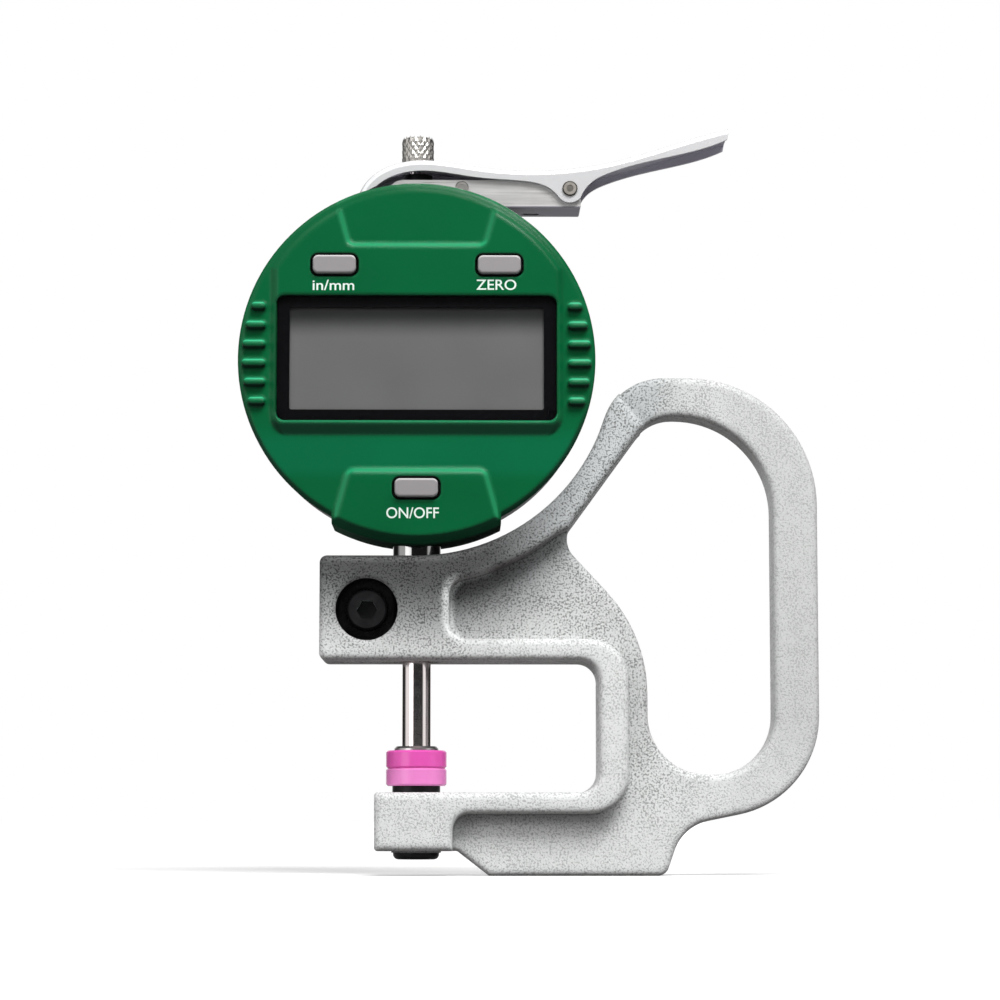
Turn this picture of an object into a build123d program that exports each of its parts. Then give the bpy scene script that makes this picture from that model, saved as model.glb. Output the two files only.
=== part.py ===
from build123d import *
import math
import os

# A digital thickness gauge: a cast frame with a handle, a clamped stem, a spindle that a thumb
# lever lifts, and a round display head.
# Millimetres. The origin is the middle of the foot's flat face, +X to the handle, +Y to the
# back, +Z up. Outlines of the frame, the head and the lever are drawn on planes whose own
# origin is the spindle's axis, so their first coordinate is the distance from that axis.

# Reach, heights and travel
foot_to_spindle = 25.5
throat_reach = 30.0
anvil_face_z = 17.6
throat_top_z = 35.1
block_h = 17.2
head_r = 29.5
head_arc_r = head_r + 2.9
head_z = throat_top_z + block_h + head_arc_r
running_gap = 0.03
small = 0.01
free_gap = 0.3

# Cast frame
frame_t = 16.0
plate_t = 8.0
block_left = 15.85
block_r = 1.2
arm_left = 6.75
arm_top_z = anvil_face_z - 4.0
arm_bottom_z = arm_top_z - 9.55
foot_left = 12.0
foot_right = 41.0
foot_corner_r = 2.0
small_corner_r = 0.6
throat_corner_r = 3.2
strut_angle = -18.0
handle_right = head_arc_r + 34.0
handle_top_z = head_z - 2.4
handle_top_w = 6.5
handle_side_w = 7.4
handle_tl_r = 11.0
handle_br_r = 16.6
handle_br_z = 12.7
foot_neck = 43.8
foot_neck_z = 8.1
foot_neck_r = 7.4
loop_left = head_arc_r + 5.7
loop_bottom_z = 16.55
loop_top_left = head_arc_r + 6.4
web_corner_r = 25.0
notch = head_arc_r - 8.7
notch_z = head_z - 29.7
notch_r = 4.0
web_corner_z = notch_z - 15.5
rim_w = 4.6
rim_end_angle = -51.5
throat_rim_w = 3.55
throat_rim_side_w = 4.8
throat_rim_r = 6.5
pocket_left = 5.4
pocket_r = 2.8
arm_recess_left = 6.0
arm_rim_w = 3.5
rim_edge_r = 1.1
plate_edge_r = 1.0

# Clamp of the stem
stem_r = 4.0
stem_wall = 1.0
stem_bottom_z = throat_top_z + 0.9
clamp_slit_w = 1.2
clamp_screw_out = 8.1
clamp_screw_z = throat_top_z + 8.3
clamp_bore_r = 5.1
clamp_bore_depth = 5.4
clamp_head_r = 3.3
clamp_head_h = 4.0
clamp_thread_r = 2.0
clamp_hex = 3.0
clamp_hex_depth = 2.2

# Measuring faces and anvil
face_r = 5.0
face_t = 2.9
face_chamfer = 0.3
face_recess_r = 2.5
face_recess_depth = 1.3
anvil_flange_r = 3.95
anvil_shank_r = 2.5
anvil_screw_r = 1.5
anvil_screw_head_r = 3.8
anvil_screw_head_h = 1.1
anvil_boss_r = 4.1
anvil_boss_h = 0.3
anvil_hex = 2.0
seat_r = 3.65
seat_h = 0.7
seat_stud_r = 1.25
seat_stud_h = 6.0

# Spindle and lifting cap
spindle_r = 2.4
rod_r = 1.25
cap_r = 2.5
cap_h = 4.4
cap_bore_h = 2.8
bush_h = 12.0
spring_wire_r = 0.25
spring_coil_r = 1.85
spring_turns = 12

# Head housing
housing_r = head_r - 0.5
housing_front_y = -6.5
housing_back_y = 5.5
housing_wall = 2.5
chassis_front_y = -3.6
chassis_t = 0.9
head_flat_z = head_z + housing_r - 2.7
block_half_w = 13.9
block_flat_z = head_z - housing_r + 1.7
head_block_r = head_r + 1.1
top_boss_half_w = 5.0
top_boss_bottom_z = head_flat_z - 4.5
stem_boss_half_w = 6.5
stem_top_z = block_flat_z + 2.6
stem_boss_top_z = stem_top_z + 0.5
chassis_slot_half_w = 5.0
chassis_slot_bottom_z = stem_boss_top_z + 1.0
chassis_slot_top_z = head_flat_z - 10.0
cover_post_r = 2.2
cover_post_ring_r = housing_r - 5.4
cover_screw_r = 0.9
cover_screw_head_r = 1.7
cover_screw_head_h = 0.9
screw_cross_w = 0.5
screw_cross_depth = 0.5
guide_rod_r = 1.0
guide_rod_out = 9.5
guide_bottom_z = block_flat_z + 1.0
guide_top_z = head_flat_z - 0.7
cover_thread_l = 5.0
shoulder_z = top_boss_bottom_z - 20.5
cap_bottom_z = head_flat_z + 8.0

# Back cover and battery
back_cover_r = housing_r - 0.4
back_cover_t = 3.0
battery_drop = 7.0
cell_r = 10.0
cell_t = 3.2
battery_gap = 0.3
battery_wall = 1.2
battery_floor_t = 0.4
battery_clip_t = 0.2
battery_lid_r = 12.6
battery_lid_t = 1.1
coin_slot_l = 12.0
coin_slot_w = 1.6
coin_slot_depth = 0.7

# Front bezel
bezel_face_y = -8.5
bezel_edge = 0.6
plateau_h = 1.0
plateau_half_w = head_r - 5.5
plateau_bottom_z = head_z - 12.7
plateau_ring_r = head_r - 1.2
plateau_corner_r = 3.2
plateau_chamfer = 0.9
plateau_slope_w = 1.9
bezel_lip_r = housing_r - housing_wall - 0.1
bezel_lip_t = 0.7
bezel_lip_h = 1.0
panel_top_half_w = 11.5
panel_rim_half_w = 13.6
panel_top_z = head_z + 18.6
panel_bottom_z = head_z - 18.2
panel_step = 0.8
panel_slope = 0.7
panel_corner_r = 1.6
grip_count = 6
grip_pitch = 3.16
grip_inner = plateau_half_w + 0.9
grip_ring_r = head_r - bezel_edge - 0.05
grip_h = 1.4
grip_rise = 1.3
grip_middle_z = head_z + 0.7

# Display stack
window_w = 2 * (head_r - 6.5)
window_h = 0.7 * head_r
window_r = 1.4
window_z = head_z + 0.05
window_t = 0.8
window_sunk = 0.3
mask_t = 0.4
view_w = window_w - 4.1
view_h = window_h - 3.65
view_r = 0.4
lcd_w = window_w - 2.4
lcd_h = window_h - 1.65
lcd_t = 1.6
holder_w = window_w
holder_h = window_h + 0.95
holder_t = 1.1
strip_w = lcd_w - 3.6
strip_h = 1.2
strip_inset = 0.9
slide_gap = 0.1

# Buttons, circuit board and scale
button_w = 7.1
button_h = 3.0
button_r = 0.9
button_proud = 0.9
button_flange_w = 9.0
button_flange_h = 4.6
button_flange_t = 0.5
button_edge_r = 0.35
mode_out = 13.6
mode_z = head_z + 15.5
power_z = head_z - 21.5
dome_r = 2.0
dome_h = 0.35
board_r = bezel_lip_r - bezel_lip_t - 0.3
board_t = 1.0
board_back_y = -4.1
board_chord_z = stem_boss_top_z + 0.4
board_screw_out = board_r - 7.9
board_screw_z = head_z - 14.7
board_screw_top_z = head_z + 19.3
board_post_r = 1.6
board_screw_r = 0.7
reader_half_w = 4.0
reader_bottom_z = head_z - 6.7
reader_top_z = head_z + 9.3
reader_t = 0.4
scale_half_w = 3.5
scale_l = 0.75 * head_r
scale_t = 0.4
slider_half_w = 4.4
slider_h = 8.0
slider_bottom_z = stem_boss_top_z + 5.5
slider_half_t = 2.9
scale_drop = 2.0
guide_eye_r = 2.0

# Lever, bracket and pivot
bracket_half_w = 4.0
bracket_t = 0.7
bracket_left = 5.0
bracket_h = 4.6
bracket_corner_r = 2.6
bracket_slot_in = 6.5
bracket_slot_l = 3.0
nut_r = 3.1
nut_h = 1.4
bush_r = 2.45
bush_top_z = head_flat_z + 6.0
bush_bottom_z = top_boss_bottom_z
pivot_out = head_r - 4.05
pivot_z = head_flat_z + 3.0
pivot_r = 1.0
bracket_right = pivot_out + 1.85
pivot_head_r = 1.25
pivot_head_h = 0.4
lug_r = 2.3
lift_gap = 0.1
lug_open = 40.0
lever_side = 1.9
lever_bend_r = 0.9
pin_cup_r = 0.6
pin_cup_depth = 0.12
lever_left = 9.7
lever_right = pivot_out + 26.75
fork_drop = 5.6
saddle_out = 18.0
saddle_drop = 1.7
thumb_rise = 5.5
lever_half_w = 4.9
lever_t = 0.7
lever_slot_half_w = 1.7
lever_slot_left = 6.4
lever_slot_right = 2.0
tie_out = 7.4
tie_z = head_flat_z + 3.2
tie_r = 0.8
tie_head_r = 1.15
tie_head_h = 0.6

spindle_x = -foot_to_spindle
block_top_z = head_z - head_arc_r
contact_z = anvil_face_z + face_t
seat_top_z = contact_z + seat_h


def face_at(y):
    """A plane that looks along +Y, through the spindle's axis, at this depth."""
    return Plane(origin=(spindle_x, y, 0), x_dir=(1, 0, 0), z_dir=(0, -1, 0))


def level(z, out=0.0, y=0.0):
    """A level plane at this height, with its origin this far out from the spindle's axis."""
    return Plane(origin=(spindle_x + out, y, z))


def on_circle(radius, angle):
    """The point of a circle about the head's centre."""
    turn = math.radians(angle)
    return (radius * math.cos(turn), head_z + radius * math.sin(turn))


def finish(name, builder):
    """Labels a piece and writes it."""
    builder.part.label = name
    export_step(builder.part, f"parts/{name}.step")


def frame_outline():
    """The outer outline of the frame and of its handle."""
    arc_start = (0, block_top_z)
    arc_end = on_circle(head_arc_r, strut_angle)
    arc_middle = on_circle(head_arc_r, (strut_angle - 90) / 2)
    turn = math.radians(strut_angle)
    rise = (handle_top_z - arc_end[1]) / math.cos(turn)
    strut_top = (arc_end[0] - rise * math.sin(turn), handle_top_z)
    outer_corner_r = 0.64 * (handle_right - strut_top[0])
    with BuildSketch() as outline:
        with BuildLine():
            FilletPolyline(
                arc_end,
                strut_top,
                (handle_right, handle_top_z),
                (handle_right, handle_br_z),
                (foot_neck, foot_neck_z),
                (foot_right, 0),
                (foot_left, 0),
                (arm_left, arm_bottom_z),
                (-arm_left, arm_bottom_z),
                (-arm_left, arm_top_z),
                (throat_reach, arm_top_z),
                (throat_reach, throat_top_z),
                (-block_left, throat_top_z),
                (-block_left, block_top_z),
                arc_start,
                radius=[
                    0.95 * handle_tl_r * min(1, rise / handle_tl_r / math.tan(math.radians(36))),
                    outer_corner_r,
                    handle_br_r,
                    foot_neck_r,
                    foot_corner_r,
                    small_corner_r,
                    small_corner_r,
                    small_corner_r,
                    small_corner_r,
                    throat_corner_r,
                    throat_corner_r,
                    block_r,
                    block_r,
                ],
            )
            ThreePointArc(arc_start, arc_middle, arc_end)
        make_face()
    return outline.sketch


def handle_loop():
    """The hole of the handle."""
    loop_right = handle_right - handle_side_w
    loop_top_z = handle_top_z - handle_top_w
    top_run = loop_right - loop_top_left
    with BuildSketch() as outline:
        with BuildLine():
            FilletPolyline(
                (loop_top_left, loop_top_z),
                (loop_right, loop_top_z),
                (loop_right, loop_bottom_z),
                (loop_left, loop_bottom_z),
                (loop_left, web_corner_z),
                (notch, notch_z),
                radius=[
                    0.36 * top_run,
                    0.79 * top_run,
                    0.465 * (loop_right - loop_left),
                    0.465 * (loop_right - loop_left),
                    web_corner_r,
                    notch_r,
                ],
                close=True,
            )
        make_face()
    return outline.sketch


def thin_region():
    """All that is thinner than the ring round the head, the clamp block and the throat's rim."""
    ring_r = head_arc_r + rim_w
    ring_end = on_circle(ring_r, rim_end_angle)
    ring_angle = -math.degrees(math.acos(pocket_left / ring_r))
    ring_start = on_circle(ring_r, ring_angle)
    ring_middle = on_circle(ring_r, (ring_angle + rim_end_angle) / 2)
    rim_side = throat_reach + throat_rim_side_w
    beyond = 6.0
    with BuildSketch() as outline:
        with BuildLine():
            FilletPolyline(
                ring_end,
                (notch + beyond, notch_z + 0.7 * beyond),
                (loop_top_left, handle_top_z - handle_top_w - 0.6 * beyond),
                (loop_top_left - 1.3 * beyond, handle_top_z),
                (loop_top_left - 1.3 * beyond, handle_top_z + beyond),
                (handle_right + beyond, handle_top_z + beyond),
                (handle_right + beyond, -beyond),
                (arm_recess_left, -beyond),
                (arm_recess_left, arm_top_z - arm_rim_w),
                (rim_side, arm_top_z - arm_rim_w),
                (rim_side, throat_top_z + throat_rim_w),
                (pocket_left, throat_top_z + throat_rim_w),
                ring_start,
                radius=[
                    1.0,
                    1.0,
                    1.0,
                    1.0,
                    1.0,
                    1.0,
                    1.0,
                    pocket_r,
                    throat_rim_r,
                    throat_rim_r,
                    pocket_r,
                ],
            )
            ThreePointArc(ring_start, ring_middle, ring_end)
        make_face()
        corner = outline.vertices().sort_by_distance(Vector(*ring_start))[0]
        fillet(corner, pocket_r)
    return outline.sketch


def make_frame():
    """The casting: a thin plate with a handle, and a thick body round the throat."""
    with BuildPart() as raised:
        with BuildSketch(face_at(0)):
            add(frame_outline())
            add(handle_loop(), mode=Mode.SUBTRACT)
            add(thin_region(), mode=Mode.SUBTRACT)
        extrude(amount=frame_t / 2, both=True)
        rims = raised.faces().filter_by(Axis.Y)
        rim_edges = rims.sort_by(Axis.Y)[0].edges() + rims.sort_by(Axis.Y)[-1].edges()
        fillet(rim_edges, rim_edge_r)
    with BuildPart() as frame:
        with BuildSketch(face_at(0)):
            add(frame_outline())
            add(handle_loop(), mode=Mode.SUBTRACT)
        extrude(amount=plate_t / 2, both=True)
        rims = frame.faces().filter_by(Axis.Y)
        rim_edges = rims.sort_by(Axis.Y)[0].edges() + rims.sort_by(Axis.Y)[-1].edges()
        fillet(rim_edges, plate_edge_r)
        add(raised.part)
        with BuildSketch(level(arm_bottom_z)):
            Circle(anvil_boss_r)
        extrude(amount=-anvil_boss_h)
        with Locations(level(block_top_z)):
            Hole(stem_r + running_gap, depth=block_top_z - throat_top_z)
        with BuildSketch(level(throat_top_z)):
            with Locations((-block_left, 0)):
                Rectangle(2 * block_left, clamp_slit_w)
        extrude(amount=head_z, mode=Mode.SUBTRACT)
        with Locations(face_at(-frame_t / 2)):
            with Locations((-clamp_screw_out, clamp_screw_z)):
                CounterBoreHole(clamp_thread_r + running_gap, clamp_bore_r, clamp_bore_depth, frame_t)
        with Locations(level(arm_top_z)):
            Hole(anvil_shank_r + running_gap, depth=frame_t)
    return frame


def make_tube(bottom, top, outer, inner, out=0.0, edge=0.0):
    """An upright sleeve, or a rod where its bore is nothing."""
    with BuildPart() as tube:
        with BuildSketch(level(bottom, out)):
            Circle(outer)
        extrude(amount=top - bottom)
        if edge:
            chamfer(tube.faces().sort_by(Axis.Z)[-1].edges(), edge)
            chamfer(tube.faces().sort_by(Axis.Z)[0].edges(), edge)
        if inner:
            with Locations(level(top, out)):
                Hole(inner, depth=top - bottom)
    return tube


def make_clamp_screw():
    """A socket cap screw that closes the slit of the clamp."""
    head_y = -frame_t / 2 + clamp_bore_depth
    with BuildPart() as screw:
        with BuildSketch(face_at(head_y)):
            with Locations((-clamp_screw_out, clamp_screw_z)):
                Circle(clamp_head_r)
        extrude(amount=clamp_head_h)
        chamfer(screw.faces().sort_by(Axis.Y)[0].edges(), face_chamfer)
        with BuildSketch(face_at(head_y)):
            with Locations((-clamp_screw_out, clamp_screw_z)):
                Circle(clamp_thread_r)
        extrude(amount=-(frame_t - clamp_bore_depth - clamp_slit_w))
        with BuildSketch(face_at(head_y - clamp_head_h)):
            with Locations((-clamp_screw_out, clamp_screw_z)):
                RegularPolygon(clamp_hex / 2, 6, major_radius=False)
        extrude(amount=-clamp_hex_depth, mode=Mode.SUBTRACT)
    return screw


def make_face_disc(bottom, recess_up):
    """One of the two measuring discs, with a blind recess for the stud that carries it."""
    with BuildPart() as disc:
        with BuildSketch(level(bottom)):
            Circle(face_r)
        extrude(amount=face_t)
        chamfer(disc.edges().filter_by(GeomType.CIRCLE), face_chamfer)
        recess_z = bottom + face_t if recess_up else bottom
        with BuildSketch(level(recess_z)):
            Circle(face_recess_r + running_gap)
        depth = face_recess_depth + running_gap
        extrude(amount=-depth if recess_up else depth, mode=Mode.SUBTRACT)
    return disc


def make_anvil_post():
    """The flanged post of the anvil: a stud in its disc, a shank in the arm."""
    disc_bottom_z = anvil_face_z - face_t
    with BuildPart() as post:
        with BuildSketch(level(arm_top_z)):
            Circle(anvil_flange_r)
        extrude(amount=disc_bottom_z - arm_top_z)
        with BuildSketch(level(disc_bottom_z)):
            Circle(face_recess_r)
        extrude(amount=face_recess_depth)
        with BuildSketch(level(arm_top_z)):
            Circle(anvil_shank_r)
        extrude(amount=-(arm_top_z - arm_bottom_z))
        with Locations(level(arm_top_z)):
            Hole(anvil_screw_r + running_gap, depth=arm_top_z)
    return post


def make_anvil_screw():
    """A button head screw that holds the post from below."""
    head_top_z = arm_bottom_z - anvil_boss_h
    with BuildPart() as screw:
        with BuildSketch(level(head_top_z)):
            Circle(anvil_screw_head_r)
        extrude(amount=-anvil_screw_head_h)
        fillet(screw.faces().sort_by(Axis.Z)[0].edges(), 0.8 * anvil_screw_head_h)
        with BuildSketch(level(head_top_z)):
            Circle(anvil_screw_r)
        extrude(amount=arm_top_z - head_top_z - 2 * anvil_boss_h)
        with BuildSketch(level(head_top_z - anvil_screw_head_h)):
            RegularPolygon(anvil_hex / 2, 6, major_radius=False)
        extrude(amount=anvil_screw_head_h / 2, mode=Mode.SUBTRACT)
    return screw


def make_contact_seat():
    """The collar between the spindle and the upper disc, with a stud each way."""
    with BuildPart() as seat:
        with BuildSketch(level(contact_z)):
            Circle(seat_r)
        extrude(amount=seat_h)
        chamfer(seat.faces().sort_by(Axis.Z)[-1].edges(), seat_h / 2)
        with BuildSketch(level(contact_z)):
            Circle(face_recess_r)
        extrude(amount=-face_recess_depth)
        with BuildSketch(level(seat_top_z)):
            Circle(seat_stud_r)
        extrude(amount=seat_stud_h)
    return seat


def make_spindle():
    """The measuring spindle, with a thinner rod above the spring's shoulder."""
    with BuildPart() as spindle:
        with BuildSketch(level(seat_top_z)):
            Circle(spindle_r)
        extrude(amount=shoulder_z - seat_top_z)
        with BuildSketch(level(shoulder_z)):
            Circle(rod_r)
        extrude(amount=cap_bottom_z + cap_bore_h - running_gap - shoulder_z)
        with BuildSketch(level(seat_top_z)):
            Circle(seat_stud_r + running_gap)
        extrude(amount=seat_stud_h + running_gap, mode=Mode.SUBTRACT)
    return spindle


def make_lifting_cap():
    """The cap that the lever's fork lifts."""
    with BuildPart() as cap:
        with BuildSketch(level(cap_bottom_z)):
            Circle(cap_r)
        extrude(amount=cap_h)
        chamfer(cap.edges().filter_by(GeomType.CIRCLE), face_chamfer)
        with BuildSketch(level(cap_bottom_z)):
            Circle(rod_r + running_gap)
        extrude(amount=cap_bore_h, mode=Mode.SUBTRACT)
    return cap


def make_return_spring():
    """The coil round the rod, which presses the spindle on to the anvil."""
    bottom = shoulder_z + free_gap + spring_wire_r
    height = top_boss_bottom_z - free_gap - spring_wire_r - bottom
    with BuildPart() as spring:
        with BuildLine() as path:
            Helix(
                pitch=height / spring_turns,
                height=height,
                radius=spring_coil_r,
                center=(spindle_x, 0, bottom),
            )
        with BuildSketch(path.line ^ 0):
            Circle(spring_wire_r)
        sweep()
    return spring


def make_rear_housing():
    """The metal body of the head: a ring wall and a plate that carries the board."""
    chassis_back_y = chassis_front_y + chassis_t
    cavity_r = housing_r - housing_wall
    depth = housing_back_y - housing_front_y
    with BuildPart() as housing:
        with BuildSketch(face_at(housing_back_y)):
            with Locations((0, head_z)):
                Circle(housing_r)
            with Locations((0, block_flat_z - housing_r)):
                Rectangle(2 * block_half_w, 2 * housing_r, mode=Mode.SUBTRACT)
            with Locations((0, head_flat_z + housing_r)):
                Rectangle(2 * housing_r, 2 * housing_r, mode=Mode.SUBTRACT)
        extrude(amount=depth)
        with BuildSketch(face_at(housing_back_y)):
            with Locations((0, head_z)):
                Circle(cavity_r)
            with Locations((0, (head_flat_z - housing_wall / 2) + housing_r)):
                Rectangle(2 * housing_r, 2 * housing_r, mode=Mode.SUBTRACT)
            with Locations((0, top_boss_bottom_z + housing_r)):
                Rectangle(2 * top_boss_half_w, 2 * housing_r, mode=Mode.SUBTRACT)
            with Locations((0, stem_boss_top_z - housing_r)):
                Rectangle(2 * stem_boss_half_w, 2 * housing_r, mode=Mode.SUBTRACT)
            with Locations((0, block_flat_z + housing_wall - housing_r)):
                Rectangle(2 * block_half_w, 2 * housing_r, mode=Mode.SUBTRACT)
        extrude(amount=housing_back_y - chassis_back_y, mode=Mode.SUBTRACT)
        with BuildSketch(face_at(chassis_front_y)):
            with Locations((0, head_z)):
                Circle(cavity_r)
            with Locations((0, stem_boss_top_z - housing_r)):
                Rectangle(2 * stem_boss_half_w, 2 * housing_r, mode=Mode.SUBTRACT)
            with Locations((0, head_flat_z - housing_wall / 2 + housing_r)):
                Rectangle(2 * housing_r, 2 * housing_r, mode=Mode.SUBTRACT)
            with Locations((0, block_flat_z + housing_wall - housing_r)):
                Rectangle(2 * block_half_w, 2 * housing_r, mode=Mode.SUBTRACT)
        extrude(amount=chassis_front_y - housing_front_y, mode=Mode.SUBTRACT)
        slot_h = chassis_slot_top_z - chassis_slot_bottom_z
        with BuildSketch(face_at(chassis_back_y)):
            with Locations((0, chassis_slot_bottom_z + slot_h / 2)):
                RectangleRounded(2 * chassis_slot_half_w, slot_h, small_corner_r)
        extrude(amount=chassis_t, mode=Mode.SUBTRACT)
        with BuildSketch(face_at(housing_back_y)):
            with Locations((0, head_z)):
                with PolarLocations(cover_post_ring_r, 4, start_angle=45):
                    Circle(cover_post_r)
        extrude(amount=housing_back_y - chassis_back_y)
        with BuildSketch(face_at(chassis_front_y)):
            with Locations(*board_screw_places()):
                Circle(board_post_r)
        extrude(amount=chassis_front_y - board_back_y)
        with BuildSketch(face_at(board_back_y)):
            with Locations(*board_screw_places()):
                Circle(board_screw_r + running_gap)
        extrude(amount=-(chassis_back_y - board_back_y), mode=Mode.SUBTRACT)
        with BuildSketch(face_at(housing_back_y)):
            with Locations((0, head_z)):
                with PolarLocations(cover_post_ring_r, 4, start_angle=45):
                    Circle(cover_screw_r + running_gap)
        extrude(amount=housing_back_y - chassis_back_y, mode=Mode.SUBTRACT)
        with BuildSketch(level(block_flat_z)):
            Circle(stem_r + running_gap)
        extrude(amount=stem_top_z - block_flat_z, mode=Mode.SUBTRACT)
        with BuildSketch(level(block_flat_z)):
            Circle(spindle_r + free_gap)
        extrude(amount=stem_boss_top_z - block_flat_z + small, mode=Mode.SUBTRACT)
        with BuildSketch(level(top_boss_bottom_z)):
            Circle(bush_r + running_gap)
        extrude(amount=head_flat_z, mode=Mode.SUBTRACT)
        with BuildSketch(level(guide_bottom_z, guide_rod_out)):
            Circle(guide_rod_r + running_gap)
        extrude(amount=guide_top_z - guide_bottom_z, mode=Mode.SUBTRACT)
    return housing


def board_screw_places():
    """Where the board is screwed to the chassis plate."""
    return [
        (-board_screw_out, board_screw_z),
        (board_screw_out, board_screw_z),
        (0, board_screw_top_z),
    ]


def on_rib_rows():
    """The heights of the grip ribs."""
    first = grip_middle_z - grip_pitch * (grip_count - 1) / 2
    return [first + grip_pitch * row for row in range(grip_count)]


def make_bezel():
    """The moulded front: a raised window field, two panels, grips and the block at the stem."""
    plateau_y = bezel_face_y - plateau_h
    panel_lean = (panel_rim_half_w - panel_top_half_w) / (head_flat_z - panel_top_z)
    panel_taper = math.degrees(math.atan(panel_slope / panel_step))
    seat_depth = window_sunk + window_t + mask_t
    with BuildPart() as plateau:
        with BuildSketch(face_at(bezel_face_y)):
            with Locations((0, head_z)):
                Circle(plateau_ring_r)
            with Locations((0, plateau_bottom_z + head_r)):
                Rectangle(2 * plateau_half_w, 2 * head_r, mode=Mode.INTERSECT)
        extrude(amount=plateau_h)
        fillet(plateau.edges().filter_by(Axis.Y).group_by(Axis.Z)[0], plateau_corner_r)
        chamfer(plateau.faces().sort_by(Axis.Y)[0].edges(), plateau_chamfer)
        with BuildSketch(Plane.YZ.offset(spindle_x)):
            with BuildLine():
                Polyline(
                    (plateau_y, plateau_bottom_z + plateau_slope_w),
                    (bezel_face_y, plateau_bottom_z),
                    (plateau_y, plateau_bottom_z),
                    close=True,
                )
            make_face()
        extrude(amount=head_r, both=True, mode=Mode.SUBTRACT)
    with BuildPart() as panel:
        with BuildSketch(face_at(bezel_face_y)):
            with BuildLine():
                reach = panel_bottom_z - head_z + head_block_r
                FilletPolyline(
                    (-panel_top_half_w - panel_lean * reach, panel_bottom_z - reach),
                    (-panel_top_half_w, panel_bottom_z),
                    (panel_top_half_w, panel_bottom_z),
                    (panel_top_half_w + panel_lean * reach, panel_bottom_z - reach),
                    radius=panel_corner_r,
                    close=True,
                )
            make_face()
            with Locations((0, head_z)):
                Circle(head_block_r - bezel_edge, mode=Mode.INTERSECT)
        extrude(amount=panel_step)
        chamfer(panel.faces().sort_by(Axis.Y)[0].edges(), panel_slope)
    with BuildPart() as rib:
        with BuildSketch(face_at(bezel_face_y)):
            for z in on_rib_rows():
                outer = math.sqrt(grip_ring_r**2 - (abs(z - head_z) + grip_h / 2) ** 2)
                middle = (grip_inner + outer) / 2
                with Locations((-middle, z), (middle, z)):
                    RectangleRounded(outer - grip_inner, grip_h, 0.47 * grip_h)
        extrude(amount=grip_rise)
        fillet(rib.faces().sort_by(Axis.Y)[: 2 * grip_count].edges(), 0.4 * grip_h)
    with BuildPart() as block:
        with BuildSketch(face_at(housing_back_y)):
            with Locations((0, head_z)):
                Circle(head_block_r)
            with Locations((0, panel_bottom_z - head_r)):
                Rectangle(2 * block_half_w, 2 * head_r, mode=Mode.INTERSECT)
        extrude(amount=housing_back_y - bezel_face_y)
        rims = block.edges().filter_by(GeomType.CIRCLE).sort_by(Axis.Y)
        chamfer([rims[0], rims[-1]], bezel_edge)
        with BuildSketch(face_at(housing_back_y)):
            with Locations((0, head_z)):
                Circle(housing_r + running_gap)
            with Locations((0, block_flat_z - running_gap + head_r)):
                Rectangle(2 * head_r, 2 * head_r, mode=Mode.INTERSECT)
        extrude(amount=housing_back_y - housing_front_y, mode=Mode.SUBTRACT)
    with BuildPart() as bezel:
        with BuildSketch(face_at(housing_front_y)):
            with Locations((0, head_z)):
                Circle(head_r)
        extrude(amount=housing_front_y - bezel_face_y)
        chamfer(bezel.faces().sort_by(Axis.Y)[0].edges(), bezel_edge)
        add(block.part)
        add(plateau.part)
        add(panel.part)
        add(rib.part)
        with BuildSketch(face_at(plateau_y)):
            with BuildLine():
                reach = head_z + head_block_r - panel_top_z
                FilletPolyline(
                    (-panel_top_half_w - panel_lean * reach, panel_top_z + reach),
                    (-panel_top_half_w, panel_top_z),
                    (panel_top_half_w, panel_top_z),
                    (panel_top_half_w + panel_lean * reach, panel_top_z + reach),
                    radius=panel_corner_r,
                    close=True,
                )
            make_face()
        extrude(amount=-panel_step, taper=panel_taper, mode=Mode.SUBTRACT)
        with BuildSketch(face_at(plateau_y)):
            with Locations((0, window_z)):
                RectangleRounded(window_w + 2 * slide_gap, window_h + 2 * slide_gap, window_r)
        extrude(amount=-seat_depth, mode=Mode.SUBTRACT)
        with BuildSketch(face_at(plateau_y)):
            with Locations((0, window_z)):
                Rectangle(lcd_w + 2 * slide_gap, lcd_h + 2 * slide_gap)
        extrude(amount=-(housing_front_y - plateau_y), mode=Mode.SUBTRACT)
        with BuildSketch(face_at(plateau_y)):
            with Locations(*button_places().values()):
                RectangleRounded(
                    button_w + 2 * free_gap, button_h + 2 * free_gap, button_r + free_gap
                )
        extrude(amount=-(housing_front_y - plateau_y), mode=Mode.SUBTRACT)
        with BuildSketch(face_at(housing_front_y)):
            with Locations((0, head_z)):
                Circle(bezel_lip_r)
                Circle(bezel_lip_r - bezel_lip_t, mode=Mode.SUBTRACT)
            Rectangle(2 * head_r, 2 * (head_flat_z - housing_wall / 2 - slide_gap), mode=Mode.INTERSECT)
            with Locations((0, board_chord_z - head_r)):
                Rectangle(2 * head_r, 2 * head_r, mode=Mode.SUBTRACT)
        extrude(amount=-bezel_lip_h)
        with BuildSketch(level(0)):
            Circle(stem_r + running_gap)
        extrude(amount=block_flat_z, mode=Mode.SUBTRACT)
    return bezel


def button_places():
    """Each button by its name, with its place on the face."""
    return {
        "in_mm_button": (-mode_out, mode_z),
        "zero_button": (mode_out, mode_z),
        "on_off_button": (0, power_z),
    }


def make_button(place):
    """A pill-shaped key with a flange behind the bezel."""
    flange_front_y = housing_front_y + running_gap
    front_y = bezel_face_y - plateau_h - button_proud
    with BuildPart() as button:
        with BuildSketch(face_at(flange_front_y)):
            with Locations(place):
                RectangleRounded(button_w, button_h, button_r)
        extrude(amount=flange_front_y - front_y)
        fillet(button.faces().sort_by(Axis.Y)[0].edges(), button_edge_r)
        with BuildSketch(face_at(flange_front_y)):
            with Locations(place):
                RectangleRounded(button_flange_w, button_flange_h, button_r)
        extrude(amount=-button_flange_t)
    return button


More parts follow.
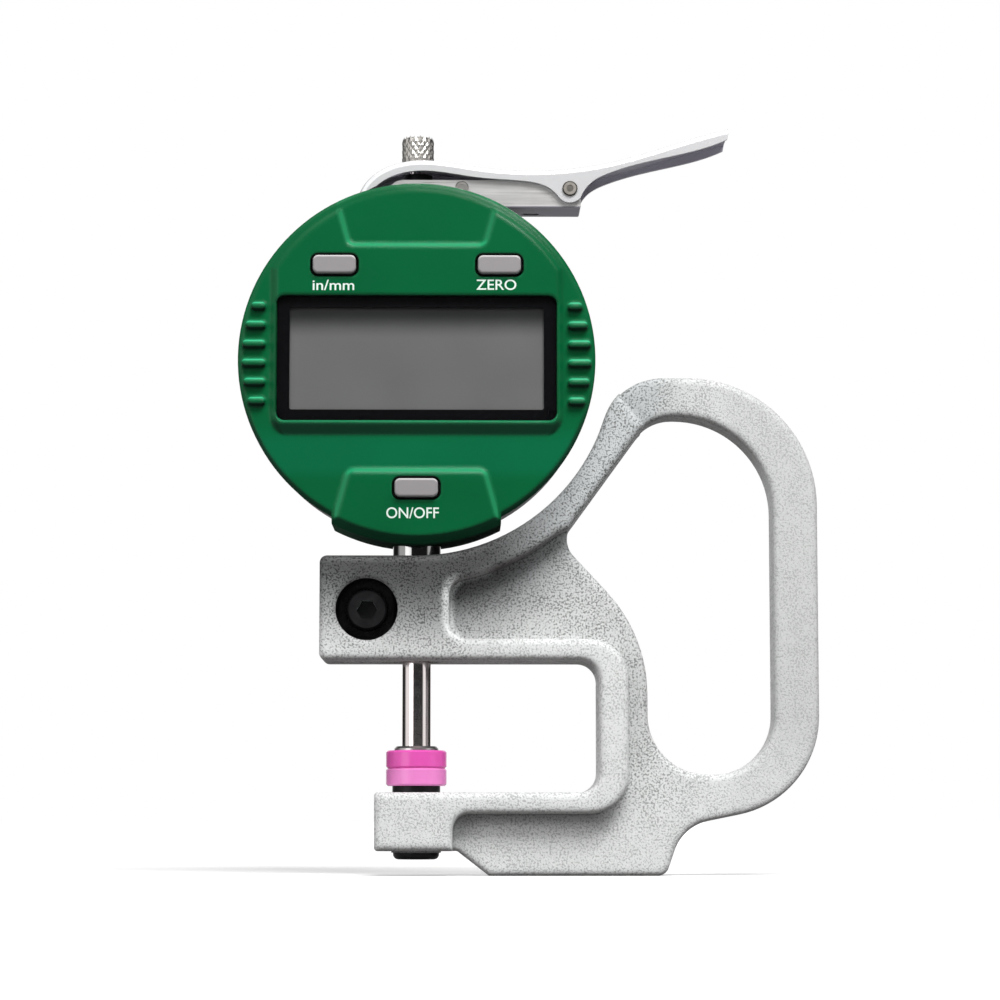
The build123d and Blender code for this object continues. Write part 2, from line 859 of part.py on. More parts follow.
def make_plate(front_y, thickness, width, height, corner_r, opening=None):
    """A flat plate of the display stack, with an opening where one is given."""
    with BuildPart() as plate:
        with BuildSketch(face_at(front_y + thickness)):
            with Locations((0, window_z)):
                RectangleRounded(width, height, corner_r)
            if opening:
                with Locations((0, window_z)):
                    RectangleRounded(*opening, view_r, mode=Mode.SUBTRACT)
        extrude(amount=thickness)
    return plate


def make_contact_strip(front_y):
    """The two rubber strips that join the display to the board."""
    row = view_h / 2 - strip_inset
    with BuildPart() as strip:
        with BuildSketch(face_at(front_y)):
            with Locations((0, window_z - row), (0, window_z + row)):
                Rectangle(strip_w, strip_h)
        extrude(amount=-(board_back_y - board_t - front_y))
    return strip


def make_board():
    """The circuit board, cut flat above the stem's boss and below the bracket's wall."""
    top = head_flat_z - housing_wall / 2 - free_gap
    with BuildPart() as board:
        with BuildSketch(face_at(board_back_y)):
            with Locations((0, head_z)):
                Circle(board_r)
            with Locations((0, (top + board_chord_z) / 2)):
                Rectangle(2 * board_r, top - board_chord_z, mode=Mode.INTERSECT)
            with Locations(*board_screw_places()):
                Circle(board_screw_r + running_gap, mode=Mode.SUBTRACT)
        extrude(amount=board_t)
    return board


def make_board_screws():
    """The screws of the board."""
    head_y = board_back_y - board_t
    with BuildPart() as screws:
        with BuildSketch(face_at(head_y)):
            with Locations(*board_screw_places()):
                Circle(2 * board_screw_r)
        extrude(amount=board_screw_r)
        with BuildSketch(face_at(head_y)):
            with Locations(*board_screw_places()):
                Circle(board_screw_r)
        extrude(amount=-(board_t + chassis_front_y - board_back_y + chassis_t))
    return screws


def make_domes():
    """The snap domes under the keys."""
    with BuildPart() as domes:
        with BuildSketch(face_at(board_back_y - board_t)):
            with Locations(*button_places().values()):
                Circle(dome_r)
        extrude(amount=dome_h)
        chamfer(domes.faces().sort_by(Axis.Y)[: len(button_places())].edges(), dome_h / 2)
    return domes


def make_reader():
    """The sensor on the board's back."""
    with BuildPart() as reader:
        with BuildSketch(face_at(board_back_y)):
            with Locations((0, (reader_bottom_z + reader_top_z) / 2)):
                Rectangle(2 * reader_half_w, reader_top_z - reader_bottom_z)
        extrude(amount=-reader_t)
    return reader


def make_slider():
    """The block on the spindle that carries the scale and runs on the guide rod."""
    with BuildPart() as slider:
        with BuildSketch(level(slider_bottom_z)):
            Rectangle(2 * slider_half_w, 2 * slider_half_t)
            with Locations((guide_rod_out / 2, 0)):
                Rectangle(guide_rod_out, guide_eye_r)
            with Locations((guide_rod_out, 0)):
                Circle(guide_eye_r)
            Circle(spindle_r + running_gap, mode=Mode.SUBTRACT)
            with Locations((guide_rod_out, 0)):
                Circle(guide_rod_r + running_gap, mode=Mode.SUBTRACT)
        extrude(amount=slider_h)
    return slider


def make_scale():
    """The scale strip on the slider's front."""
    with BuildPart() as scale:
        with BuildSketch(face_at(-slider_half_t)):
            with Locations((0, slider_bottom_z - scale_drop + scale_l / 2)):
                Rectangle(2 * scale_half_w, scale_l)
        extrude(amount=scale_t)
    return scale


def make_back_cover():
    """The black cover, with the cup of the battery on its inside."""
    outer_y = housing_back_y + back_cover_t
    cup_y = outer_y - battery_lid_t - cell_t - battery_clip_t - battery_floor_t
    with BuildPart() as cover:
        with BuildSketch(face_at(outer_y)):
            with Locations((0, head_z)):
                Circle(back_cover_r)
        extrude(amount=back_cover_t)
        chamfer(cover.faces().sort_by(Axis.Y)[-1].edges(), bezel_edge)
        with BuildSketch(face_at(housing_back_y)):
            with Locations((0, battery_z)):
                Circle(cell_r + battery_gap + battery_wall)
        extrude(amount=housing_back_y - cup_y)
        with BuildSketch(face_at(outer_y)):
            with Locations((0, battery_z)):
                Circle(battery_lid_r + running_gap)
        extrude(amount=battery_lid_t, mode=Mode.SUBTRACT)
        with BuildSketch(face_at(outer_y)):
            with Locations((0, battery_z)):
                Circle(cell_r + battery_gap)
        extrude(amount=outer_y - cup_y - battery_floor_t, mode=Mode.SUBTRACT)
        with BuildSketch(face_at(outer_y)):
            with Locations((0, head_z)):
                with PolarLocations(cover_post_ring_r, 4, start_angle=45):
                    Circle(cover_screw_r + running_gap)
        extrude(amount=back_cover_t, mode=Mode.SUBTRACT)
        with BuildSketch(face_at(outer_y)):
            with Locations((0, head_z)):
                with PolarLocations(cover_post_ring_r, 4, start_angle=45):
                    Circle(cover_screw_head_r + running_gap)
        extrude(amount=cover_screw_head_h, mode=Mode.SUBTRACT)
    return cover


def make_cover_screws():
    """The four screws of the back cover."""
    head_y = housing_back_y + back_cover_t
    with BuildPart() as screws:
        with BuildSketch(face_at(head_y)):
            with Locations((0, head_z)):
                with PolarLocations(cover_post_ring_r, 4, start_angle=45):
                    Circle(cover_screw_head_r)
        extrude(amount=cover_screw_head_h)
        with BuildSketch(face_at(head_y)):
            with Locations((0, head_z)):
                with PolarLocations(cover_post_ring_r, 4, start_angle=45):
                    Circle(cover_screw_r)
        extrude(amount=back_cover_t + cover_thread_l)
        with BuildSketch(face_at(head_y)):
            with Locations((0, head_z)):
                with PolarLocations(cover_post_ring_r, 4, start_angle=45):
                    Rectangle(1.3 * cover_screw_head_r, screw_cross_w)
                    Rectangle(screw_cross_w, 1.3 * cover_screw_head_r)
        extrude(amount=screw_cross_depth, mode=Mode.SUBTRACT)
    return screws


def make_battery_lid():
    """The round lid with a coin slot."""
    outer_y = housing_back_y + back_cover_t
    with BuildPart() as lid:
        with BuildSketch(face_at(outer_y)):
            with Locations((0, battery_z)):
                Circle(battery_lid_r)
        extrude(amount=battery_lid_t)
        chamfer(lid.faces().sort_by(Axis.Y)[-1].edges(), face_chamfer)
        with BuildSketch(face_at(outer_y)):
            with Locations((0, battery_z)):
                SlotOverall(coin_slot_l, coin_slot_w)
        extrude(amount=coin_slot_depth, mode=Mode.SUBTRACT)
    return lid


def make_cell():
    """The coin cell."""
    outer_y = housing_back_y + back_cover_t - battery_lid_t
    with BuildPart() as cell:
        with BuildSketch(face_at(outer_y)):
            with Locations((0, battery_z)):
                Circle(cell_r)
        extrude(amount=cell_t)
        chamfer(cell.edges().filter_by(GeomType.CIRCLE), face_chamfer)
    return cell


def make_battery_clip():
    """The contact plate in the bottom of the cup."""
    outer_y = housing_back_y + back_cover_t - battery_lid_t - cell_t
    with BuildPart() as clip:
        with BuildSketch(face_at(outer_y)):
            with Locations((0, battery_z)):
                Circle(cell_r / 2)
                Rectangle(1.9 * cell_r, cell_r / 4)
        extrude(amount=battery_clip_t)
    return clip


def make_bracket():
    """The channel that carries the lever, clamped on the head's flat."""
    top_z = head_flat_z + bracket_h
    with BuildPart() as bracket:
        with BuildSketch(face_at(0)):
            with BuildLine():
                FilletPolyline(
                    (-bracket_left, head_flat_z),
                    (bracket_right, head_flat_z),
                    (bracket_right, top_z),
                    (-bracket_left, top_z),
                    radius=[face_chamfer, face_chamfer, bracket_corner_r, bracket_corner_r],
                    close=True,
                )
            make_face()
        extrude(amount=bracket_half_w, both=True)
        with BuildSketch(level(head_flat_z + bracket_t)):
            with Locations(((bracket_right - bracket_left) / 2, 0)):
                Rectangle(2 * bracket_right, 2 * (bracket_half_w - bracket_t))
        extrude(amount=2 * bracket_h, mode=Mode.SUBTRACT)
        with BuildSketch(level(head_flat_z)):
            Circle(bush_r + running_gap)
            with Locations((pivot_out - bracket_slot_in, bracket_half_w / 2)):
                SlotOverall(bracket_slot_l, 2 * bracket_t)
        extrude(amount=bracket_t, mode=Mode.SUBTRACT)
        with BuildSketch(face_at(bracket_half_w)):
            with Locations((pivot_out, pivot_z)):
                Circle(pivot_r + running_gap)
            with Locations((tie_out, tie_z)):
                Circle(tie_r + running_gap)
        extrude(amount=2 * bracket_half_w, mode=Mode.SUBTRACT)
    return bracket


def make_cross_pin(place, radius, half_span, head_radius, head_h):
    """A pin along Y with a head on each end."""
    with BuildPart() as pin:
        with BuildSketch(face_at(half_span)):
            with Locations(place):
                Circle(radius)
        extrude(amount=2 * half_span)
        with BuildSketch(face_at(-half_span)):
            with Locations(place):
                Circle(head_radius)
        extrude(amount=head_h)
        chamfer(pin.faces().sort_by(Axis.Y)[0].edges(), head_h / 3)
        with BuildSketch(face_at(half_span + head_h)):
            with Locations(place):
                Circle(head_radius)
        extrude(amount=head_h)
        chamfer(pin.faces().sort_by(Axis.Y)[-1].edges(), head_h / 3)
        with BuildSketch(face_at(-half_span - head_h)):
            with Locations(place):
                Circle(pin_cup_r)
        extrude(amount=-pin_cup_depth, mode=Mode.SUBTRACT)
    return pin


def lever_top():
    """The points of the lever's back, from the fork's end to the thumb's end."""
    crown_z = cap_bottom_z - lift_gap
    knee = pivot_out + 2.7 * lug_r
    return [
        (-lever_left, crown_z - fork_drop),
        (-0.75 * lever_left, crown_z - 0.43 * fork_drop),
        (-0.38 * lever_left, crown_z - 0.11 * fork_drop),
        (0, crown_z),
        (0.55 * saddle_out, crown_z - 0.62 * saddle_drop),
        (saddle_out, crown_z - saddle_drop),
        (knee, crown_z - 0.07 * thumb_rise),
        ((knee + lever_right) / 2, crown_z + 0.46 * thumb_rise),
        (lever_right, crown_z + thumb_rise),
    ]


def below(points, depth):
    """The points moved square to their line, downwards."""
    moved = []
    last = len(points) - 1
    for index, (x, z) in enumerate(points):
        back = points[max(index - 1, 0)]
        ahead = points[min(index + 1, last)]
        run = ahead[0] - back[0]
        rise = ahead[1] - back[1]
        span = math.hypot(run, rise)
        moved.append((x + depth * rise / span, z - depth * run / span))
    return moved


def make_lever():
    """The pressed channel: a fork under the cap, two lugs on the pivot, a long thumb rest."""
    top = lever_top()
    under = below(top, lever_t)
    lug = Vector(pivot_out, pivot_z)
    lug_right = lug + Vector(lug_r, 0).rotate(Axis.Z, -lug_open)
    lug_left = lug + Vector(-lug_r, 0).rotate(Axis.Z, lug_open)
    side = below(top, lever_side)
    heel = (side[1][0] - lever_side / 2, side[1][1] - lever_t)
    lever_end = (top[-1][0] - lever_t / 2, top[-1][1] - lever_side)
    with BuildPart() as lever:
        with BuildSketch(face_at(0)):
            with BuildLine():
                Spline(*top)
                Line(top[-1], lever_end)
                Spline(
                    lever_end,
                    side[-2],
                    lug + Vector(2.75 * lug_r, 1.15 * lug_r),
                    lug + Vector(1.8 * lug_r, 0.68 * lug_r),
                    lug_right,
                )
                ThreePointArc(lug_right, lug - Vector(0, lug_r), lug_left)
                Spline(
                    lug_left,
                    lug + Vector(-1.96 * lug_r, 0.3 * lug_r),
                    side[5],
                    side[4],
                    side[3],
                    side[2],
                    heel,
                )
                Polyline(heel, (-lever_left + lever_t, top[0][1]), top[0])
            make_face()
        extrude(amount=lever_half_w, both=True)
        backs = [face.edges().sort_by(SortBy.LENGTH)[-1] for face in lever.faces().filter_by(Axis.Y)]
        fillet(backs, lever_bend_r)
        with BuildSketch(face_at(0)):
            with BuildLine():
                Spline(*under)
                Polyline(
                    under[-1],
                    (under[-1][0] + lug_r, under[-1][1]),
                    (under[-1][0] + lug_r, head_flat_z - lug_r),
                    (under[0][0] - lug_r, head_flat_z - lug_r),
                    (under[0][0] - lug_r, under[0][1] - lug_r),
                    under[0],
                )
            make_face()
        extrude(amount=lever_half_w - lever_t, both=True, mode=Mode.SUBTRACT)
        slot_l = lever_slot_left + lever_slot_right
        with BuildSketch(level(head_flat_z, (lever_slot_right - lever_slot_left) / 2)):
            SlotOverall(slot_l, 2 * lever_slot_half_w)
        extrude(amount=head_r, mode=Mode.SUBTRACT)
        with BuildSketch(face_at(lever_half_w)):
            with Locations((pivot_out, pivot_z)):
                Circle(pivot_r + running_gap)
        extrude(amount=2 * lever_half_w, mode=Mode.SUBTRACT)
    return lever


plateau_y = bezel_face_y - plateau_h
window_y = plateau_y + window_sunk
mask_y = window_y + window_t
lcd_y = mask_y + mask_t
holder_y = lcd_y + lcd_t
battery_z = head_z - battery_drop

pieces = {
    "frame": make_frame(),
    "clamp_screw": make_clamp_screw(),
    "anvil_post": make_anvil_post(),
    "anvil_disc": make_face_disc(anvil_face_z - face_t, False),
    "anvil_screw": make_anvil_screw(),
    "stem": make_tube(stem_bottom_z, stem_top_z, stem_r, stem_r - stem_wall),
    "lower_bush": make_tube(
        stem_bottom_z,
        stem_bottom_z + bush_h,
        stem_r - stem_wall - running_gap,
        spindle_r + running_gap,
    ),
    "rear_housing": make_rear_housing(),
    "front_bezel": make_bezel(),
    "display_window": make_plate(window_y, window_t, window_w, window_h, window_r),
    "window_mask": make_plate(mask_y, mask_t, window_w, window_h, window_r, (view_w, view_h)),
    "lcd_panel": make_plate(lcd_y, lcd_t, lcd_w, lcd_h, view_r),
    "lcd_holder": make_plate(
        holder_y + slide_gap, holder_t, holder_w, holder_h, view_r, (lcd_w - 2, view_h)
    ),
    "contact_strips": make_contact_strip(holder_y),
    "circuit_board": make_board(),
    "board_screws": make_board_screws(),
    "button_domes": make_domes(),
    "scale_reader": make_reader(),
    "guide_rod": make_tube(guide_bottom_z, guide_top_z, guide_rod_r, 0, guide_rod_out),
    "back_cover": make_back_cover(),
    "cover_screws": make_cover_screws(),
    "battery_lid": make_battery_lid(),
    "coin_cell": make_cell(),
    "battery_clip": make_battery_clip(),
    "upper_bush": make_tube(bush_bottom_z, bush_top_z, bush_r, rod_r + running_gap),
    "bush_nut": make_tube(
        head_flat_z + bracket_t, head_flat_z + bracket_t + nut_h, nut_r, bush_r + running_gap
    ),
    "lever_bracket": make_bracket(),
    "tie_screw": make_cross_pin(
        (tie_out, tie_z), tie_r, bracket_half_w, tie_head_r, tie_head_h
    ),
    "contact_disc": make_face_disc(anvil_face_z, True),
    "contact_seat": make_contact_seat(),
    "spindle": make_spindle(),
    "lifting_cap": make_lifting_cap(),
    "scale_slider": make_slider(),
    "scale_strip": make_scale(),
    "return_spring": make_return_spring(),
    "lever": make_lever(),
    "pivot_pin": make_cross_pin(
        (pivot_out, pivot_z), pivot_r, lever_half_w, pivot_head_r, pivot_head_h
    ),
}
for button, place in button_places().items():
    pieces[button] = make_button(place)
for piece_name, piece in pieces.items():
    finish(piece_name, piece)
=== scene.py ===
# %% [markdown]
# # A digital thickness gauge
# The object is a hand gauge for sheet: a cast frame with a loop handle, a round green head
# with a display, a spindle between two pink discs and a polished lever that lifts it. The
# measured model gives every solid its shape and place, so this lesson adds what such a model
# lacks: paint, metal, moulded skin, knurls, words and light.

import math
import bmesh
import bpy
from mathutils import Matrix, Vector


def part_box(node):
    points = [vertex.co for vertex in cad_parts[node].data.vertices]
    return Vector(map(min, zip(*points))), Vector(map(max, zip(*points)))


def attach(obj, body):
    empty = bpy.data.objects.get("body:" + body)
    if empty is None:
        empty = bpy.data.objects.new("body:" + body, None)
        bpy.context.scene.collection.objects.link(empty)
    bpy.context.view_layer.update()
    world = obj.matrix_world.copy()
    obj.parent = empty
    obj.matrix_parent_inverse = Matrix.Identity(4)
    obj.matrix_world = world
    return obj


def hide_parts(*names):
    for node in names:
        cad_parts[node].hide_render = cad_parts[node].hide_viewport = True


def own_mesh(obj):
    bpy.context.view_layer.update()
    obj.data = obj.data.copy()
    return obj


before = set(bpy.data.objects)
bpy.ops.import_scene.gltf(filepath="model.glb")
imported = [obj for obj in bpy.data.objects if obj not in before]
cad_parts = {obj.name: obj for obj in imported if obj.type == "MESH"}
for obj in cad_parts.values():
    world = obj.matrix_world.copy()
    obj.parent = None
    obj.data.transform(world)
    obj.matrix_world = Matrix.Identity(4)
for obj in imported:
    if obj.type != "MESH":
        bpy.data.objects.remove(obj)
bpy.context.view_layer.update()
MM = 0.001
SPINDLE_X = -25.5 * MM

# %% [markdown]
# ## Arithmetic on sockets
# A shader is a small sum worked out at every point. Written as Python, a sum such as
# `1 - mask * 0.4` is easy to read. The class below wraps a socket, and each operator adds
# one Math node to the tree. One function adds any other node, and another turns millimetres
# into metres.


# %% Wrap a socket
class Wire:
    """A socket that takes part in plain arithmetic."""

    def __init__(self, tree, socket):
        self.tree = tree
        self.socket = socket

    def into(self, operation, first, second):
        """Adds one Math node that works on two values."""
        node = self.tree.nodes.new("ShaderNodeMath")
        node.operation = operation
        for slot, value in zip(node.inputs, (first, second)):
            if isinstance(value, Wire):
                self.tree.links.new(value.socket, slot)
            else:
                slot.default_value = value
        return Wire(self.tree, node.outputs[0])

    def __add__(self, other):
        return self.into("ADD", self, other)

    def __sub__(self, other):
        return self.into("SUBTRACT", self, other)

    def __rsub__(self, other):
        return self.into("SUBTRACT", other, self)

    def __mul__(self, other):
        return self.into("MULTIPLY", self, other)

    def __abs__(self):
        return self.into("ABSOLUTE", self, 0.0)

    def larger(self, other):
        return self.into("MAXIMUM", self, other)

    __radd__ = __add__
    __rmul__ = __mul__


def add_node(tree, kind, settings=None, inputs=None, out=0):
    """Adds a node, fills its inputs with values or wires, and gives one output back."""
    node = tree.nodes.new(kind)
    for key, value in (settings or {}).items():
        setattr(node, key, value)
    for key, value in (inputs or {}).items():
        if isinstance(value, Wire):
            tree.links.new(value.socket, node.inputs[key])
        else:
            node.inputs[key].default_value = value
    return Wire(tree, node.outputs[out])


def mm(*lengths):
    """Millimetres as metres."""
    return [length * MM for length in lengths]


print("five operators on sockets, and ten millimetres are", mm(10)[0], "m")

# %% [markdown]
# ## One finish, one material
# Every finish starts the same way: a Principled shader and the object's own coordinates, in
# metres, so that a pattern keeps its real size on every piece. Masks come from coordinates
# and from the way a face looks, and a tint lays a colour over the finish where its mask is
# one.


# %% Start a finish
class Finish:
    """A material round one Principled shader."""

    def __init__(self, name, **sockets):
        self.material = bpy.data.materials.new(name)
        self.material.use_nodes = True
        self.tree = self.material.node_tree
        self.shader = self.tree.nodes["Principled BSDF"]
        self.place = self.node("ShaderNodeTexCoord", out="Object")
        for socket, value in sockets.items():
            self.shader.inputs[socket.replace("_", " ")].default_value = value

    def node(self, kind, settings=None, inputs=None, out=0):
        return add_node(self.tree, kind, settings, inputs, out)

    def axis(self, letter):
        """One coordinate of the point, in metres."""
        return self.node("ShaderNodeSeparateXYZ", inputs={0: self.place}, out=letter)

    def stretched(self, x, y, z):
        """The coordinates, pulled out of scale for marks that run one way."""
        settings = {"operation": "MULTIPLY"}
        return self.node("ShaderNodeVectorMath", settings, {0: self.place, 1: (x, y, z)})

    def noise(self, scale, detail=2.0, roughness=0.5, bend=0.0, where=None):
        """Soft noise, with its middle at a half."""
        inputs = {"Vector": where or self.place, "Scale": scale, "Detail": detail}
        inputs.update({"Roughness": roughness, "Distortion": bend})
        return self.node("ShaderNodeTexNoise", inputs=inputs)

    def ramp(self, value, low, high):
        """Nought at low, one at high, and smooth between; low may be the larger one."""
        inputs = {"Value": value, "From Min": low, "From Max": high}
        return self.node("ShaderNodeMapRange", {"interpolation_type": "SMOOTHSTEP"}, inputs)

    def between(self, value, start, full, fade, end):
        """One from full to fade, and nought before start and after end."""
        return self.ramp(value, start, full) * self.ramp(value, end, fade)

    def mix(self, mask, first, second):
        """One colour where the mask is nought, the other where it is one."""
        inputs = {0: mask}
        for slot, value in ((6, first), (7, second)):
            inputs[slot] = value if isinstance(value, Wire) else (*value, 1.0)
        return self.node("ShaderNodeMix", {"data_type": "RGBA"}, inputs, out=2)

    def distance(self, first, second):
        """The length of two legs at right angles."""
        legs = self.node("ShaderNodeCombineXYZ", inputs={"X": first, "Y": second})
        return self.node("ShaderNodeVectorMath", {"operation": "LENGTH"}, {0: legs}, out="Value")

    def from_line(self, x, z):
        """How far the point is from a line that runs from front to back."""
        return self.distance(self.axis("X") - x, self.axis("Z") - z)

    def facing(self, letter, normal=None):
        """How far the face looks along one axis, from -1 to 1."""
        normal = normal or self.node("ShaderNodeTexCoord", out="Normal")
        return self.node("ShaderNodeSeparateXYZ", inputs={0: normal}, out=letter)

    def rounded(self, radius):
        """The normal, as if every edge within this radius were rounded."""
        return self.node("ShaderNodeBevel", {"samples": 4}, {"Radius": radius})

    def drive(self, socket, value):
        """Lets a value feed a socket of the shader."""
        self.tree.links.new(value.socket, self.shader.inputs[socket])

    def fed_by(self, socket):
        """What feeds a socket of the shader now."""
        return Wire(self.tree, self.shader.inputs[socket].links[0].from_socket)

    def tint(self, *layers):
        """Lays colours over the base colour, each one where its mask is one."""
        for mask, colour in layers:
            self.drive("Base Color", self.mix(mask, self.fed_by("Base Color"), colour))

    def relief(self, height, depth, strength=1.0, under=None):
        """Turns a height, from nought to one, into bumps of this depth in metres."""
        inputs = {"Height": height, "Strength": strength, "Distance": depth}
        if under:
            inputs["Normal"] = under
        self.drive("Normal", self.node("ShaderNodeBump", inputs=inputs))

    def on(self, *names):
        """Gives the finish to nodes of the measured model."""
        for name in names:
            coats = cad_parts[name].data.materials
            coats.clear()
            coats.append(self.material)


print("a finish can make", [name for name in vars(Finish) if name[0] != "_"])

# %% [markdown]
# ## Hammered paint
# The casting has a hammered finish: pale grey paint that pulls away from itself as it dries
# and leaves short dark pits, about a quarter of a millimetre wide. Bent noise below a level
# gives such pits, and a slow second noise makes them denser in places. They are strong on
# the block and the web and faint elsewhere, where the paint lies thicker. The head's painted
# shadow darkens the casting close under the head, where the pits are darker too, and a
# little further out. Painted shade darkens the rim's side near the head, the recess under
# the arm, and a little the web and the handle. The screw's well is painted black. The
# pocket's inner edge carries a painted highlight, and faces that look down carry painted
# shade. A Bevel node bends the light at the foot of the rims, where a casting is never sharp.

# %% Paint the casting
hammered = Finish("hammered_paint", Roughness=0.45, Specular_IOR_Level=0.35)
bezel_low, bezel_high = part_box("front_bezel")
head_x = (bezel_low.x + bezel_high.x) / 2
head_z = (bezel_low.z + bezel_high.z) / 2
screw_low, screw_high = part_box("clamp_screw")
screw_middle = (screw_low + screw_high) / 2
cast_x, cast_y, cast_z = (hammered.axis(letter) for letter in "XYZ")
from_head = hammered.from_line(head_x, head_z)
from_screw = hammered.from_line(screw_middle.x, screw_middle.z)

# Painted shadow of the head: darkest close under the head, fainter further out, where the pits
# are also stronger.
head_shadow = hammered.ramp(from_head, *mm(52, 35)) * hammered.ramp(cast_x, *mm(5, -15))
neck_shade_and_pits = hammered.ramp(from_head, *mm(47, 37))
# Painted shade on the rim's side close to the head.
rim_side_shade = hammered.ramp(from_head, *mm(36, 30)) * hammered.ramp(cast_x, *mm(12, -2))
grip = hammered.ramp(cast_x, *mm(24, 28))
block = hammered.ramp(cast_x, *mm(-10, -18)) * hammered.ramp(cast_z, *mm(28, 37))
well = hammered.ramp(from_screw, *mm(5.2, 5.1))
well = well * hammered.between(cast_y, *mm(-7.98, -7.9, 5, 6))
plate = hammered.ramp(abs(cast_y), *mm(6.2, 4.6))
upper_plate = plate * hammered.ramp(cast_z, *mm(14, 26))
web = plate * hammered.ramp(cast_x, *mm(24, 12)) * hammered.ramp(cast_z, *mm(4, 18))
# Painted shadow in the recess under the arm's rim.
under_arm = plate * hammered.between(cast_z, *mm(7.0, 9.6, 10, 12))
under_arm = under_arm * hammered.between(cast_x, *mm(-24, -20, 3, 8))
# Painted highlight on the pocket's inner edge, where it catches light.
painted_highlight_edge = hammered.ramp(hammered.facing("X", hammered.rounded(1.8 * MM)), 0.08, 0.40)
painted_highlight_edge = painted_highlight_edge * hammered.between(cast_x, *mm(-24, -22.5, -15, -12))
# Painted shade on faces that look down.
shade = hammered.ramp(hammered.facing("Z", hammered.rounded(0.8 * MM)), -0.25, -0.75)

drift = hammered.noise(330, detail=1) - 0.5
fine = hammered.noise(3000, detail=2, roughness=0.6, bend=0.3)
pit = hammered.ramp(fine + drift * 0.15, 0.52, 0.38)
grain = hammered.noise(3600, detail=1)
hammered.drive("Base Color", hammered.mix(grain, (0.69, 0.70, 0.695), (0.89, 0.90, 0.895)))
# Painted shade on the plate and the handle, near the head, on the rim's side and close under the
# head; a painted highlight on the pocket's edge; painted shade on faces that look down.
hammered.tint(
    (upper_plate * 0.20, (0.2, 0.2, 0.2)),
    (grip * 0.09, (0.2, 0.2, 0.2)),
    (neck_shade_and_pits * 0.36, (0.24, 0.28, 0.30)),
    (rim_side_shade * 0.50, (0.06, 0.07, 0.075)),
    (head_shadow * (1 - painted_highlight_edge) * 0.94, (0.046, 0.046, 0.046)),
    (painted_highlight_edge * 0.85, (0.84, 0.86, 0.855)),
    (shade * 0.65, (0.09, 0.07, 0.07)),
)
# Pit strength: strong on the block and the web, and stronger under the head's painted shadow.
thick_paint = 0.42 + web * 0.30 - grip * 0.10
block_pits_and_shade = (0.58 + head_shadow * 0.36) * block
ink = pit * (1 - painted_highlight_edge * 0.4) * thick_paint.larger(block_pits_and_shade).larger(0.80 * neck_shade_and_pits)
# The pits darken in the head's painted shadow; painted shadow under the arm; the screw's well is
# painted black.
hammered.tint(
    (ink, hammered.mix(head_shadow, (0.06, 0.065, 0.06), (0.002, 0.002, 0.002))),
    (under_arm * 0.6, (0.05, 0.05, 0.05)),
    (well, (0.004, 0.004, 0.004)),
)
hammered.drive("Roughness", 0.42 + pit * 0.25)
hammered.relief(grain * 0.3 - pit, 0.05 * MM, strength=0.45, under=hammered.rounded(1.3 * MM))
hammered.on("frame")
print("hammered paint", len(hammered.tree.nodes), "nodes")

# %% [markdown]
# ## Moulded plastic
# A moulding isn't quite smooth: its skin is faintly dull in places and has a grain that
# light picks up at the edges. One function gives every plastic piece its own colour, dulness
# and grain. On the head's front the edges, panels and ribs carry a painted highlight where
# they look up and painted shade where they look down, a band below the window carries
# painted light, faces that look down are also duller, and the ring round each key carries
# painted shade. The keys carry the same painted highlight and shade on their edges.


# %% Mould the plastic pieces
def moulded(name, colour, dulness, grain=900, depth=0.012, shift=0.12, gloss=0.5, edge=0.0):
    """A moulded skin: colour that wanders, a fine grain and, if edge is given, soft edges."""
    skin = Finish(name, Specular_IOR_Level=gloss)
    cloud = skin.noise(grain / 12, detail=2)
    fine = skin.noise(grain * 2, detail=2)
    darker = tuple(part * (1 - shift) for part in colour)
    lighter = tuple(min(1.0, part * (1 + shift)) for part in colour)
    skin.drive("Base Color", skin.mix(cloud, darker, lighter))
    skin.drive("Roughness", dulness + (fine - 0.5) * 0.10)
    skin.soft = skin.rounded(edge * MM) if edge else None
    skin.relief(fine, depth * MM, strength=0.35, under=skin.soft)
    return skin


KEYS = ("in_mm_button", "zero_button", "on_off_button")
key_half_x, key_half_z = mm(2.65, 0.60)
green = moulded("green_moulding", (0.002, 0.112, 0.036), 0.24, depth=0.006, gloss=0.16, edge=0.9)
green_x, green_z = green.axis("X"), green.axis("Z")
aside, level = abs(green_x - head_x), green_z - head_z
near_rim = green.ramp(green.from_line(head_x, head_z), *mm(25.6, 26.2))
upper = green.ramp(level, *mm(9, 11))
# Painted light: a paler band on the head's front below the window.
painted_light_band = green.between(green_z, *mm(64, 67, 70, 75))
panels = (1 - near_rim).larger(green.ramp(aside, *mm(13.6, 13.2)))
panels = panels * green.ramp(abs(level), *mm(15, 16))
ribs = green.ramp(aside, *mm(23.2, 23.8)) * green.ramp(abs(level), *mm(14, 13))
soft_up, soft_side = green.facing("Z", green.soft), abs(green.facing("X", green.soft))
hard_up = green.facing("Z")
